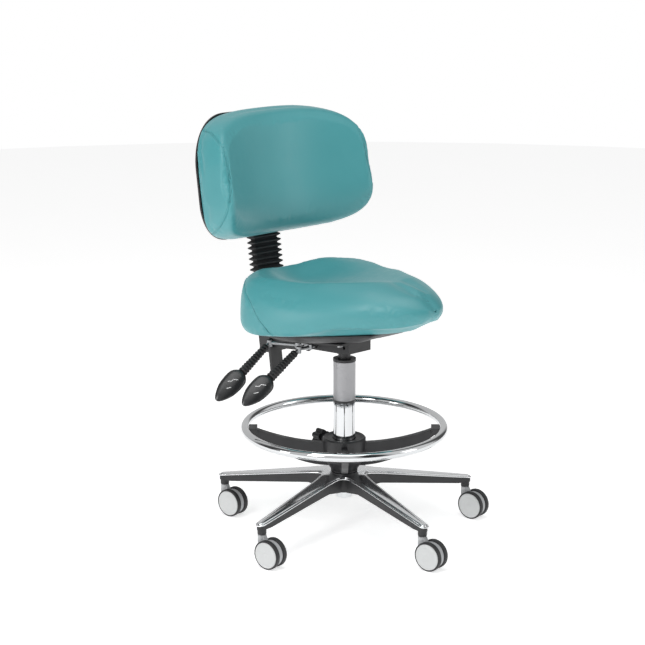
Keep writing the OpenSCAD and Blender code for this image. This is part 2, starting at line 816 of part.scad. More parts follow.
star_base();
leg_trims();
hub_skirt();
column_tube();
column_sleeve();
column_rings();
guide_bush();
thrust_bearing();
caster_stems();
piston_rod();
rod_clip();
gas_cylinder();
taper_socket();
mechanism_housing();
pivot_pins();
seat_plate();
seat_shell();
seat_cushion();
seat_bolts();
release_pin();
height_lever_rod();
height_lever_cover();
height_lever_grip();
angle_lever_rod();
angle_lever_cover();
angle_lever_grip();
back_arm();
back_arm_bolts();
bellows();
back_upright();
back_carrier();
back_shell();
back_cushion();
back_screws();
foot_ring();
ring_hub();
ring_bush();
clamp_knob();
caster_1_yoke();
caster_1_axle();
caster_1_wheel_l();
caster_1_wheel_r();
caster_2_yoke();
caster_2_axle();
caster_2_wheel_l();
caster_2_wheel_r();
caster_3_yoke();
caster_3_axle();
caster_3_wheel_l();
caster_3_wheel_r();
caster_4_yoke();
caster_4_axle();
caster_4_wheel_l();
caster_4_wheel_r();
caster_5_yoke();
caster_5_axle();
caster_5_wheel_l();
caster_5_wheel_r();
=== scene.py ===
import math

import bmesh
import bpy
from mathutils import Matrix, Vector
from mathutils.bvhtree import BVHTree
from mathutils.kdtree import KDTree


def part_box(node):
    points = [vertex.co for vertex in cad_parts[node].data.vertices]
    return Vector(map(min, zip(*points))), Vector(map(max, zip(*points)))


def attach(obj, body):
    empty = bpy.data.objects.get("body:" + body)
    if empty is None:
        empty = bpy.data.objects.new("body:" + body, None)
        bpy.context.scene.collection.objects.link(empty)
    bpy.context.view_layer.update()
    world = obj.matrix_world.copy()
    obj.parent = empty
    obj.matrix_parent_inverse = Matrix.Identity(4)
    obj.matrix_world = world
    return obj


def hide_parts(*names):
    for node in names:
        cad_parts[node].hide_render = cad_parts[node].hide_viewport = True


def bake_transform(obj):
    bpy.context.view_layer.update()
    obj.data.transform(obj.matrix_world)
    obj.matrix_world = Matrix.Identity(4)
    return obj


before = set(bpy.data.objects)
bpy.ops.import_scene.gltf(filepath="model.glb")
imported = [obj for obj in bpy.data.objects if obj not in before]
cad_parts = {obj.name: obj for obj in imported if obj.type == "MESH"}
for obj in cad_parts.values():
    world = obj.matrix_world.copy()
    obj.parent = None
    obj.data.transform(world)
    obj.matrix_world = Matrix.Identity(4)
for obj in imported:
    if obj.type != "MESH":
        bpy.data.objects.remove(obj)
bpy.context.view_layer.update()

MM = 0.001

# ---------------------------------------------------------------- dimensions, in millimetres


def node_box(name):
    """Lowest and highest corner of a CAD node, in millimetres."""
    low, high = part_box(name)
    return low / MM, high / MM


RING_LOW, RING_HIGH = node_box("foot_ring")
RING_TUBE_R = (RING_HIGH.z - RING_LOW.z) / 2
RING_R = (RING_HIGH.x - RING_LOW.x) / 2 - RING_TUBE_R
RING_Z = (RING_HIGH.z + RING_LOW.z) / 2
WHEEL_R = node_box("caster_1_wheel_l")[1].z / 2
BASE_TOP = node_box("star_base")[1].z

# The five legs and their casters
LEG_COUNT = 5
FIRST_LEG = math.radians(46.3)
STEM_REACH = 295.0
TIP_CENTRE = STEM_REACH + 3
LEG_END = STEM_REACH + 14
HUB_R = 53.0
COLLAR_RISE = 1.5
HUB_TOP = BASE_TOP - COLLAR_RISE
LEG_TIP_TOP = 99.5
LEG_FALL = (HUB_TOP - LEG_TIP_TOP) / (STEM_REACH - HUB_R)
COVER_T = 5.0
TRAIL = 24.0
TRAIL_ANGLE = math.radians(-80)
WHEEL_GAP = 12.5

# The seat slopes back; its plate lies on a plane through the column axis
SEAT_SLOPE = math.radians(8)
PLATE_Z = 446.0
SEAT_HALF_W = 188.0
SEAT_FRONT = -295.0
SEAT_BACK = 212.0
SEAT_WIDEST = 100.0
SEAT_SHIFT = 6.5
PAN_BOTTOM = 4.5
CUSHION_BASE = 29.0
PAN_FRONT = -150.0

# The upright's frame: up the bar, with y pointing backwards
BACK_LEAN = math.radians(8.2)
UPRIGHT_FOOT = Vector((0, 232, 320))
BACK_MID = 475.0
BACK_HALF_W = 217.0
BACK_HALF_H = 142.0

# Levers
LEVER_KNEE_X = -84.0
COVER_LEN = 98.0
COVER_START = 12.0
GRIP_ROLL = math.radians(-40)


# ---------------------------------------------------------------- materials


class Nodes:
    """A material's node tree, with short calls for the nodes this scene uses."""

    def __init__(self, name):
        self.mat = bpy.data.materials.new(name)
        self.mat.use_nodes = True
        self.tree = self.mat.node_tree
        self.bsdf = self.tree.nodes["Principled BSDF"]
        self.coord = self.tree.nodes.new("ShaderNodeTexCoord").outputs["Object"]

    def link(self, a, b):
        self.tree.links.new(a, b)

    def noise(self, scale, detail=3.0, stretch=None):
        node = self.tree.nodes.new("ShaderNodeTexNoise")
        node.inputs["Scale"].default_value = scale
        node.inputs["Detail"].default_value = detail
        self.link(self.stretched(stretch), node.inputs["Vector"])
        return node.outputs["Fac"]

    def voronoi(self, scale, feature="F1"):
        node = self.tree.nodes.new("ShaderNodeTexVoronoi")
        node.feature = feature
        node.inputs["Scale"].default_value = scale
        self.link(self.coord, node.inputs["Vector"])
        return node.outputs["Distance"]

    def stretched(self, stretch):
        if stretch is None:
            return self.coord
        node = self.tree.nodes.new("ShaderNodeMapping")
        node.inputs["Scale"].default_value = stretch
        self.link(self.coord, node.inputs["Vector"])
        return node.outputs["Vector"]

    def ramp(self, value, low, high, to_low, to_high):
        node = self.tree.nodes.new("ShaderNodeMapRange")
        node.inputs["From Min"].default_value = low
        node.inputs["From Max"].default_value = high
        node.inputs["To Min"].default_value = to_low
        node.inputs["To Max"].default_value = to_high
        self.link(value, node.inputs["Value"])
        return node.outputs["Result"]

    def add(self, a, b, share=1.0):
        node = self.tree.nodes.new("ShaderNodeMath")
        node.operation = "MULTIPLY_ADD"
        self.link(b, node.inputs[0])
        node.inputs[1].default_value = share
        self.link(a, node.inputs[2])
        return node.outputs[0]

    def colour(self, factor, dark, light):
        node = self.tree.nodes.new("ShaderNodeMix")
        node.data_type = "RGBA"
        node.inputs["A"].default_value = (*dark, 1)
        node.inputs["B"].default_value = (*light, 1)
        self.link(factor, node.inputs["Factor"])
        self.link(node.outputs["Result"], self.bsdf.inputs["Base Color"])

    def roughness(self, value):
        self.link(value, self.bsdf.inputs["Roughness"])

    def bump(self, height, distance, strength=1.0):
        node = self.tree.nodes.new("ShaderNodeBump")
        node.inputs["Distance"].default_value = distance
        node.inputs["Strength"].default_value = strength
        self.link(height, node.inputs["Height"])
        self.link(node.outputs["Normal"], self.bsdf.inputs["Normal"])

    def set(self, **values):
        for key, value in values.items():
            self.bsdf.inputs[key.replace("_", " ")].default_value = value
        return self


def vinyl():
    """Soft teal upholstery vinyl: fine pebble grain, slow colour drift and a satin sheen."""
    n = Nodes("teal_vinyl")
    n.colour(n.noise(9, 4), (0.058, 0.292, 0.315), (0.070, 0.316, 0.340))
    n.roughness(n.ramp(n.noise(60, 4), 0.3, 0.7, 0.36, 0.46))
    n.bump(n.add(n.voronoi(1100), n.noise(26, 3), 0.5), 0.00012, 0.35)
    n.set(Specular_IOR_Level=0.5, Sheen_Weight=0.12, Sheen_Roughness=0.4,
          Coat_Weight=0.12, Coat_Roughness=0.3)
    n.bsdf.inputs["Sheen Tint"].default_value = (0.6, 0.95, 0.97, 1)
    return n.mat


def plastic(name, dark, light, rough, grain=900, depth=0.00006):
    """Moulded plastic: sandblasted grain, slight tone and gloss variation."""
    n = Nodes(name)
    n.colour(n.noise(18, 4), dark, light)
    n.roughness(n.ramp(n.noise(45, 5), 0.3, 0.7, rough - 0.06, rough + 0.08))
    n.bump(n.add(n.noise(grain, 2), n.voronoi(grain * 0.6), 0.6), depth, 0.5)
    return n.mat


def metal(name, dark, light, rough, spread=0.04, stretch=None, scratch=0.000015):
    """Metal with fine polishing marks; stretch lengthens the marks along an axis."""
    n = Nodes(name)
    n.colour(n.noise(12, 5), dark, light)
    n.roughness(n.ramp(n.noise(160, 6, stretch), 0.3, 0.7, max(0.02, rough - spread), rough + spread))
    n.bump(n.noise(420, 4, stretch), scratch, 0.4)
    n.set(Metallic=1.0)
    return n.mat


def powder_coat():
    """Black powder coat with an orange-peel surface."""
    n = Nodes("black_powder_coat")
    n.colour(n.noise(14, 4), (0.012, 0.012, 0.013), (0.024, 0.024, 0.026))
    n.roughness(n.ramp(n.noise(70, 4), 0.3, 0.7, 0.34, 0.48))
    n.bump(n.noise(520, 2), 0.00008, 0.5)
    return n.mat


def rubber():
    """Matt black rubber with dusty, paler patches."""
    n = Nodes("black_rubber")
    n.colour(n.noise(40, 5), (0.010, 0.010, 0.011), (0.028, 0.028, 0.030))
    n.roughness(n.ramp(n.noise(90, 4), 0.3, 0.7, 0.48, 0.66))
    n.bump(n.noise(900, 3), 0.00005, 0.5)
    return n.mat


VINYL = vinyl()
BLACK = plastic("black_moulding", (0.012, 0.012, 0.013), (0.022, 0.022, 0.024), 0.42)
SHELL_BLACK = plastic("shell_moulding", (0.010, 0.010, 0.011), (0.018, 0.018, 0.020), 0.5, 700)
GRIP_MAT = plastic("grip_moulding", (0.014, 0.015, 0.016), (0.026, 0.027, 0.028), 0.22, 1200, 0.00003)
SILVER = plastic("silver_moulding", (0.40, 0.41, 0.42), (0.47, 0.48, 0.49), 0.34, 1000, 0.00003)
DISC_MAT = plastic("disc_moulding", (0.56, 0.57, 0.57), (0.62, 0.63, 0.63), 0.38, 1000, 0.00002)
BUSH = plastic("bush_moulding", (0.62, 0.60, 0.55), (0.72, 0.70, 0.66), 0.5)
MARK = plastic("white_mark", (0.80, 0.80, 0.80), (0.88, 0.88, 0.88), 0.4)
COAT = powder_coat()
RUBBER = rubber()
CHROME = metal("chrome", (0.62, 0.63, 0.64), (0.70, 0.71, 0.72), 0.06, 0.02)
ALLOY = metal("polished_alloy", (0.74, 0.75, 0.76), (0.86, 0.87, 0.88), 0.15, 0.05)
SATIN = metal("satin_steel", (0.27, 0.27, 0.28), (0.36, 0.36, 0.37), 0.24, 0.05, (1, 1, 14), 0.00002)
ZINC = metal("zinc_plate", (0.46, 0.47, 0.48), (0.62, 0.63, 0.64), 0.36, 0.08)
STEEL = metal("drawn_steel", (0.30, 0.31, 0.32), (0.40, 0.41, 0.42), 0.35, 0.06, (14, 1, 1))


# ---------------------------------------------------------------- mesh helpers


def shade(obj, angle=35.0):
    """Smooth shading with creases sharper than the angle kept sharp."""
    mesh = obj.data
    mesh.polygons.foreach_set("use_smooth", [True] * len(mesh.polygons))
    mesh.set_sharp_from_angle(angle=math.radians(angle))
    return obj


def new_object(name, bm, mat, matrix=Matrix.Identity(4), crease=35.0):
    """An object from a bmesh in millimetres; the matrix places it in the row frame."""
    bmesh.ops.recalc_face_normals(bm, faces=bm.faces[:])
    bm.transform(Matrix.Scale(MM, 4) @ matrix)
    mesh = bpy.data.meshes.new(name)
    bm.to_mesh(mesh)
    bm.free()
    obj = bpy.data.objects.new(name, mesh)
    bpy.context.scene.collection.objects.link(obj)
    mesh.materials.append(mat)
    return shade(obj, crease)


def place(obj, body, slot, *nodes):
    """Rides on a body and stands for the named CAD nodes; slot is not used."""
    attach(obj, body)
    if nodes:
        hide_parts(*nodes)
    return obj


def loft_into(bm, rings, closed=True, cap_start=True, cap_end=True):
    """Quads between rings that have the same number of points, with fanned caps."""
    rows = [[bm.verts.new(p) for p in ring] for ring in rings]
    count = len(rows[0])
    for a, b in zip(rows, rows[1:]):
        for i in range(count if closed else count - 1):
            j = (i + 1) % count
            bm.faces.new((a[i], a[j], b[j], b[i]))
    for row, wanted in ((rows[0], cap_start), (rows[-1], cap_end)):
        if wanted:
            fan(bm, row)
    return rows


def fan(bm, row):
    centre = bm.verts.new(sum((v.co for v in row), Vector()) / len(row))
    for i, v in enumerate(row):
        bm.faces.new((v, row[(i + 1) % len(row)], centre))


def revolve_into(bm, profile, steps=64, matrix=Matrix.Identity(4)):
    """A closed (radius, height) profile turned about Z. Points on the axis share one vertex."""
    rows = []
    for r, z in profile:
        if r < 1e-6:
            rows.append([bm.verts.new(matrix @ Vector((0, 0, z)))] * steps)
            continue
        angles = [2 * math.pi * k / steps for k in range(steps)]
        rows.append([bm.verts.new(matrix @ Vector((r * math.cos(a), r * math.sin(a), z))) for a in angles])
    for a, b in zip(rows, rows[1:] + rows[:1]):
        for i in range(steps):
            j = (i + 1) % steps
            corners = []
            for v in (a[i], a[j], b[j], b[i]):
                if v not in corners:
                    corners.append(v)
            if len(corners) > 2:
                bm.faces.new(corners)


def tube(name, points, radius, mat, closed=False, sides=10):
    """A round cord through the points."""
    bm = bmesh.new()
    count = len(points)
    rings = []
    up = Vector((0, 0, 1))
    for i, p in enumerate(points):
        before = points[i - 1] if i or closed else p
        after = points[(i + 1) % count] if i < count - 1 or closed else p
        along = (after - before).normalized()
        side = along.cross(up)
        side = side.normalized() if side.length > 0.2 else along.cross(Vector((1, 0, 0))).normalized()
        over = side.cross(along)
        angles = [2 * math.pi * k / sides for k in range(sides)]
        rings.append([p + radius * (side * math.cos(a) + over * math.sin(a)) for a in angles])
    if closed:
        rings.append(rings[0])
    loft_into(bm, rings, cap_start=not closed, cap_end=not closed)
    if closed:
        bmesh.ops.remove_doubles(bm, verts=bm.verts[:], dist=0.01)
    return new_object(name, bm, mat)


def round_rect(w, h, r, per_corner=6):
    """Points of a rounded rectangle, anticlockwise."""
    points = []
    for k, (sx, sy) in enumerate(((1, 1), (-1, 1), (-1, -1), (1, -1))):
        for i in range(per_corner):
            a = math.pi / 2 * (k + i / (per_corner - 1))
            points.append((sx * (w / 2 - r) + r * math.cos(a), sy * (h / 2 - r) + r * math.sin(a)))
    return points


def add_bevel(obj, width, segments=2, angle=40.0):
    """Rounds a CAD node's sharp edges with a modifier, so its mesh stays as it is."""
    mod = obj.modifiers.new("edge_round", "BEVEL")
    mod.width = width
    mod.segments = segments
    mod.limit_method = "ANGLE"
    mod.angle_limit = math.radians(angle)
    mod.harden_normals = False


def leg_half(r):
    """Half-width of a leg in plan, flared at the hub."""
    return 11 + 7.2 * ((LEG_END - r) / 150) ** 0.9 + 5 * (max(0.0, 100 - r) / 52) ** 2


def leg_top(r):
    return HUB_TOP - LEG_FALL * max(0.0, r - HUB_R)


def leg_outline():
    """A fifth of the star's plan, from the valley on one side round the tip to the other.
    Returns the points and the indices of the fillet's end and the tip's start."""
    half_sector = math.pi / LEG_COUNT
    fillet = 14.0
    crossing = 50.6
    side_lean = math.radians(14)
    centre = (crossing + fillet / math.sin(half_sector + side_lean)) * Vector(
        (math.cos(half_sector), math.sin(half_sector)))
    start, stop = half_sector + math.pi, 1.5 * math.pi - side_lean
    arc = [start + (stop - start) * k / 4 for k in range(5)]
    half = [centre + fillet * Vector((math.cos(a), math.sin(a))) for a in arc]
    first = half[-1].x + 4
    for k in range(18):
        r = first + (TIP_CENTRE - first) * k / 18
        half.append(Vector((r, leg_half(r))))
    tip_start = len(half)
    w = leg_half(TIP_CENTRE)
    for k in range(7):
        a = math.pi / 12 * k
        half.append(Vector((TIP_CENTRE + w * math.sin(a), w * math.cos(a))))
    return half + [Vector((p.x, -p.y)) for p in reversed(half[:-1])], 4, tip_start


# (distance in from the edge, height over the leg's top): lip, side, rim, groove, raised panel
LEG_SECTION = ((2.2, -5.0), (0.4, -5.0), (0.0, -4.6), (0.0, -3.4), (0.5, -2.8), (3.2, -2.6),
               (3.9, -3.0), (4.5, -2.6), (5.0, -0.9), (5.7, -0.35), (7.4, -0.1))
COLLAR_TOP = ((38, 0.1), (33, 0.7), (30, 1.4), (27, 1.5), (25.6, 1.2))
COLLAR_UNDER = ((38, -COVER_T), (27.4, -COVER_T), (27.4, -43.5), (25.4, -43.5))


def fill_sector(bm, ring, first, last, crown, drop):
    """Quads across a leg inside a ring. Returns the loop of vertices facing the hub."""
    count = len(ring)
    rows = []
    for i in range(first, last + 1):
        left, right = ring[i], ring[count - 1 - i]
        x = left.co.x
        middle = [bm.verts.new((x, left.co.y * t, leg_top(x) + drop + crown * (1 - t * t)))
                  for t in (0.5, 0.0, -0.5)]
        rows.append([left, *middle, right])
    for a, b in zip(rows, rows[1:]):
        for k in range(4):
            bm.faces.new((a[k], a[k + 1], b[k + 1], b[k]))
    tip = ring[last:count - last]
    _, near, centre, far, _ = rows[-1]
    bm.faces.new((tip[0], tip[1], centre, near))
    for a, b in zip(tip[1:-2], tip[2:-1]):
        bm.faces.new((a, b, centre))
    bm.faces.new((tip[-2], tip[-1], far, centre))
    return ring[:first] + rows[0] + ring[count - first:]


def strip(bm, a, b):
    for i in range(len(a) - 1):
        bm.faces.new((a[i], a[i + 1], b[i + 1], b[i]))


# ---------------------------------------------------------------- star base


def build_star_base():
    """Polished cover over the five legs: thin rim, groove, raised panel and hub collar."""
    bm = bmesh.new()
    outline, first, last = leg_outline()
    count = len(outline)
    bisector = math.pi / LEG_COUNT
    inward = []
    for i in range(count):
        if i in (0, count - 1):
            y = -math.sin(bisector) if i == 0 else math.sin(bisector)
            inward.append(Vector((-math.cos(bisector), y)))
        else:
            t = (outline[i + 1] - outline[i - 1]).normalized()
            inward.append(Vector((t.y, -t.x)))
    rings = []
    for inset, drop in LEG_SECTION:
        flat = [p + q * inset for p, q in zip(outline, inward)]
        rings.append([bm.verts.new((p.x, p.y, leg_top(p.x) + drop)) for p in flat])
    for a, b in zip(rings, rings[1:]):
        strip(bm, a, b)
    ends = []
    for ring, crown, drop, levels in ((rings[-1], 0.5, LEG_SECTION[-1][1], COLLAR_TOP),
                                      (rings[0], 0.0, -COVER_T, COLLAR_UNDER)):
        loop = fill_sector(bm, ring, first, last, crown, drop)
        angles = [math.atan2(v.co.y, v.co.x) for v in loop]
        for radius, dz in levels:
            inner = [bm.verts.new((radius * math.cos(a), radius * math.sin(a), HUB_TOP + dz))
                     for a in angles]
            strip(bm, loop, inner)
            loop = inner
        ends.append(loop)
    strip(bm, *ends)
    sector = bm.verts[:] + bm.edges[:] + bm.faces[:]
    for k in range(1, LEG_COUNT):
        copy = bmesh.ops.duplicate(bm, geom=sector)["geom"]
        verts = [g for g in copy if isinstance(g, bmesh.types.BMVert)]
        bmesh.ops.rotate(bm, verts=verts, matrix=Matrix.Rotation(2 * math.pi / LEG_COUNT * k, 3, "Z"))
    bmesh.ops.remove_doubles(bm, verts=bm.verts[:], dist=0.05)
    cover = new_object("star_cover", bm, ALLOY, Matrix.Rotation(FIRST_LEG, 4, "Z"), crease=50)
    place(cover, "base", "polished_aluminium", "star_base")


# ---------------------------------------------------------------- casters

# (radius, height from the wheel's inner face)
TYRE = ((5, 0), (29, 0), (31, 0.4), (32.2, 1.4), (32.5, 2.8), (32.5, 8.6), (32.3, 9.8), (31.6, 10.8),
        (30.4, 11.3), (29.3, 11.2), (29.0, 10.4), (26, 9.2), (5, 9.2))
DISC = ((0, 9.4), (27.5, 9.4), (28.6, 10.0), (28.8, 10.9), (28.5, 11.4), (27.6, 11.8), (22.5, 12.1),
        (21.6, 11.8), (20.7, 12.15), (14, 12.5), (7.2, 12.7), (6.4, 12.4), (5.6, 12.7), (0, 12.8))


def build_casters():
    """Twin wheels: a dark tyre with a pale domed cover disc on its outer face."""
    for k in range(1, LEG_COUNT + 1):
        leg = FIRST_LEG + 2 * math.pi / LEG_COUNT * (k - 1)
        axle = (Matrix.Rotation(leg, 4, "Z") @ Matrix.Translation((STEM_REACH, 0, 0))
                @ Matrix.Rotation(TRAIL_ANGLE - leg, 4, "Z") @ Matrix.Translation((TRAIL, 0, WHEEL_R)))
        for side, letter, word in ((1, "l", "left"), (-1, "r", "right")):
            face = axle @ Matrix.Rotation(-math.pi / 2 * side, 4, "X") @ Matrix.Translation(
                (0, 0, WHEEL_GAP / 2))
            body = f"caster_{k}_{word}_wheel"
            node = f"caster_{k}_wheel_{letter}"
            for name, profile, mat in (("tyre", TYRE, RUBBER), ("disc", DISC, DISC_MAT)):
                bm = bmesh.new()
                revolve_into(bm, profile, 72)
                piece = new_object(f"caster_{k}_{word}_{name}", bm, mat, face, crease=40)
                place(piece, body, "caster_wheel", node)


# ---------------------------------------------------------------- foot ring


def build_foot_ring():
    bm = bmesh.new()
    sides = 32
    profile = [(RING_R + RING_TUBE_R * math.cos(2 * math.pi * k / sides),
                RING_TUBE_R * math.sin(2 * math.pi * k / sides)) for k in range(sides)]
    revolve_into(bm, profile, 200)
    ring = new_object("foot_ring_tube", bm, CHROME, Matrix.Translation((0, 0, RING_Z)))
    place(ring, "ring", "bright_chrome", "foot_ring")


# ---------------------------------------------------------------- levers


def lever_matrix(grip_y, z, slope):
    return (Matrix.Translation((LEVER_KNEE_X, grip_y, z))
            @ Matrix.Rotation(math.radians(270 - slope), 4, "Y"))


# (distance from the grip's shoulder, half-width, half-thickness)
PADDLE = ((0, 8.4, 6.8), (2, 10.6, 8.0), (6, 15.4, 9.0), (10, 19.2, 9.4), (15, 22.0, 9.3), (24, 23.6, 8.9),
          (36, 23.8, 8.4), (48, 23.0, 7.8), (59, 21.0, 7.0), (69, 17.6, 6.0), (77, 14.0, 5.0),
          (84, 10.2, 4.0), (89, 6.4, 2.8), (91.5, 3.2, 1.6))


def build_lever(name, grip_y, z, slope):
    """Ribbed cover, paddle grip and two plain white marks; the body has the lever's name."""
    frame_at = lever_matrix(grip_y, z, slope)
    pitch = 7.8
    profile = [(4.1, COVER_START), (7.6, COVER_START)]
    ribs = 11
    for i in range(ribs):
        s = COVER_START + 0.4 + i * pitch
        grow = 1.0 - 0.10 * math.cos(math.pi * i / ribs)
        profile += [(8.0 * grow, s), (8.0 * grow, s + 1.5), (9.3 * grow, s + 2.3), (10.0 * grow, s + 3.3),
                    (10.1 * grow, s + 5.3), (9.4 * grow, s + 6.5), (8.0 * grow, s + 7.2)]
    profile += [(7.8, COVER_LEN - 0.2), (4.1, COVER_LEN - 0.2)]
    bm = bmesh.new()
    revolve_into(bm, profile, 36)
    cover = new_object(f"{name}_boot", bm, RUBBER, frame_at, crease=60)
    place(cover, name, "black_rubber", f"{name}_cover")

    bm = bmesh.new()
    rings = []
    for s, w, t in PADDLE:
        ring = []
        for k in range(32):
            a = 2 * math.pi * k / 32
            c, d = math.cos(a), math.sin(a)
            ring.append(Vector((t * math.copysign(abs(c) ** 0.85, c),
                                w * math.copysign(abs(d) ** 0.85, d), COVER_LEN + s)))
        rings.append(ring)
    loft_into(bm, rings)
    rolled = frame_at @ Matrix.Rotation(GRIP_ROLL, 4, "Z")
    paddle = new_object(f"{name}_paddle", bm, GRIP_MAT, rolled, crease=60)
    place(paddle, name, "grip_plastic", f"{name}_grip")
    top = BVHTree.FromObject(paddle, bpy.context.evaluated_depsgraph_get())
    marks = (((24, -7), (30, 2), (36, 2), (42, 9)), ((48, -6), (57, 0)))
    for i, line in enumerate(marks):
        points = []
        for (s0, y0), (s1, y1) in zip(line, line[1:]):
            for k in range(6):
                f = k / 6
                points.append(Vector((12, y0 + (y1 - y0) * f, COVER_LEN + s0 + (s1 - s0) * f)))
        points.append(Vector((12, line[-1][1], COVER_LEN + line[-1][0])))
        down = (rolled.to_3x3() @ Vector((-1, 0, 0))).normalized()
        laid = []
        for p in points:
            hit = top.ray_cast((rolled @ p) * MM, down)[0]
            laid.append(hit / MM - down * 0.1)
        mark = tube(f"{name}_mark_{i + 1}", laid, 0.75, MARK, sides=8)
        place(mark, name, "grip_plastic")


# ---------------------------------------------------------------- bellows


def back_matrix():
    return Matrix.Translation(UPRIGHT_FOOT) @ Matrix.Rotation(-BACK_LEAN, 4, "X")


def build_bellows():
    """Pleated sleeve round the upright, between the arm and the backrest."""
    start, pitch, pleats = 104.0, 12.6, 18
    outer, inner = (42.0, 17.0, 9.0), (34.0, 9.0, 4.5)
    # (share of a pleat, share of the way out)
    pleat = ((0.0, 0.0), (0.12, 0.12), (0.36, 0.86), (0.44, 1.0), (0.56, 1.0), (0.64, 0.86), (0.88, 0.12))
    rings = []
    for i in range(pleats):
        for along, out in pleat:
            w, d, r = (a + (b - a) * out for a, b in zip(inner, outer))
            s = start + (i + along) * pitch
            rings.append([Vector((x, y, s)) for x, y in round_rect(2 * w, 2 * d, r)])
    end = start + pleats * pitch
    rings.append([Vector((x, y, end)) for x, y in round_rect(2 * inner[0], 2 * inner[1], inner[2])])
    for k in range(30, -1, -1):
        s = start + (end - start) * k / 30
        rings.append([Vector((x, y, s)) for x, y in round_rect(38, 11.4, 2)])
    bm = bmesh.new()
    rows = loft_into(bm, rings, cap_start=False, cap_end=False)
    for i in range(len(rows[0])):
        j = (i + 1) % len(rows[0])
        bm.faces.new((rows[-1][i], rows[-1][j], rows[0][j], rows[0][i]))
    sleeve = new_object("bellows_sleeve", bm, RUBBER, back_matrix(), crease=60)
    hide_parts("bellows")
    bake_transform(sleeve)


# ---------------------------------------------------------------- cushions

# Cell of the remesh and the most that a cover may swell
VOXEL = 4.6
SWELL = 3.0
CLOTH_FRAMES = 20


def spline(table, x):
    """Smooth curve through (x, value) stations."""
    if x <= table[0][0]:
        return table[0][1]
    if x >= table[-1][0]:
        return table[-1][1]
    i = max(k for k in range(len(table) - 1) if table[k][0] <= x)

    def slope(k):
        a, b = table[max(0, k - 1)], table[min(len(table) - 1, k + 1)]
        return (b[1] - a[1]) / (b[0] - a[0])

    (x0, v0), (x1, v1) = table[i], table[i + 1]
    h = x1 - x0
    t = (x - x0) / h
    return ((2 * t ** 3 - 3 * t ** 2 + 1) * v0 + (t ** 3 - 2 * t ** 2 + t) * h * slope(i)
            + (3 * t ** 2 - 2 * t ** 3) * v1 + (t ** 3 - t ** 2) * h * slope(i + 1))


def bake(obj):
    """Turns an object's modifiers into its mesh."""
    mesh = bpy.data.meshes.new_from_object(obj.evaluated_get(bpy.context.evaluated_depsgraph_get()))
    obj.modifiers.clear()
    obj.data = mesh


def inflate(obj, pinned):
    """Evens out a cushion's mesh and lets cloth under pressure fill its cover, by at most SWELL.
    pinned says which points, in millimetres, stay where they are."""
    remesh = obj.modifiers.new("even", "REMESH")
    remesh.mode = "VOXEL"
    remesh.voxel_size = VOXEL * MM
    bake(obj)
    mod = obj.modifiers.new("relax", "SMOOTH")
    mod.iterations = 6
    mod.factor = 0.5
    bake(obj)
    rest = [v.co.copy() for v in obj.data.vertices]
    group = obj.vertex_groups.new(name="pinned")
    for v in obj.data.vertices:
        if pinned(v.co / MM):
            group.add([v.index], 1.0, "REPLACE")
    cloth = obj.modifiers.new("cover", "CLOTH")
    cloth.settings.quality = 4
    cloth.settings.mass = 0.4
    cloth.settings.tension_stiffness = 12
    cloth.settings.compression_stiffness = 12
    cloth.settings.shear_stiffness = 4
    cloth.settings.bending_stiffness = 0.6
    cloth.settings.use_pressure = True
    cloth.settings.uniform_pressure_force = 4
    cloth.settings.effector_weights.gravity = 0
    cloth.settings.vertex_group_mass = "pinned"
    cloth.point_cache.frame_start = 1
    cloth.point_cache.frame_end = CLOTH_FRAMES
    for f in range(1, CLOTH_FRAMES + 1):
        bpy.context.scene.frame_set(f)
    bake(obj)
    bpy.context.scene.frame_set(1)
    obj.vertex_groups.clear()
    for v, old in zip(obj.data.vertices, rest):
        move = v.co - old
        if move.length > SWELL * MM:
            v.co = old + move * (SWELL * MM / move.length)
    sub = obj.modifiers.new("fine", "SUBSURF")
    sub.levels = sub.render_levels = 1
    bake(obj)


def lay_on(obj, path, step=2.0):
    """The path drawn closely and dropped onto the object's surface, as (points, normals)."""
    tree = BVHTree.FromObject(obj, bpy.context.evaluated_depsgraph_get())
    points, normals = [], []
    for a, b in zip(path, path[1:]):
        pieces = max(1, int((b - a).length / step))
        for k in range(pieces):
            spot, normal, _, _ = tree.find_nearest(a.lerp(b, k / pieces) * MM)
            points.append(spot / MM)
            normals.append(normal)
    return points, normals


def smooth_path(stations, steps=10):
    """A smooth line through 3-D stations."""
    tables = [[(i, p[axis]) for i, p in enumerate(stations)] for axis in range(3)]
    total = (len(stations) - 1) * steps
    return [Vector([spline(t, k / steps) for t in tables]) for k in range(total + 1)]


def groove(obj, points, depth, width, ripple=0.3):
    """Presses a seam into the surface along the points, with puckers of height ripple beside it."""
    tree = KDTree(len(points))
    for i, p in enumerate(points):
        tree.insert(p, i)
    tree.balance()
    for v in obj.data.vertices:
        p = v.co / MM
        _, i, d = tree.find(p)
        if d < width * 7:
            dip = depth * math.exp(-(d / width) ** 2)
            beside = math.exp(-((d - 3 * width) / (2.2 * width)) ** 2)
            pucker = ripple * beside * math.sin(i * 0.55 + 2 * math.sin(i * 0.17))
            v.co -= v.normal * (dip + pucker) * MM


def seam(obj, name, stations, body, slot, depth=2.2, width=2.6, cord=1.15):
    """A sewn seam: a groove along the stations with thin piping in it."""
    points, _ = lay_on(obj, smooth_path(stations))
    groove(obj, points, depth, width)
    points, normals = lay_on(obj, smooth_path(stations), 3.0)
    lifted = [p + n * cord * 0.35 for p, n in zip(points, normals)]
    for _ in range(2):
        lifted = [lifted[0]] + [(a + b * 2 + c) / 4 for a, b, c in zip(lifted, lifted[1:], lifted[2:])] \
            + [lifted[-1]]
    piping = tube(name, lifted, cord, VINYL, sides=10)
    place(piping, body, slot)


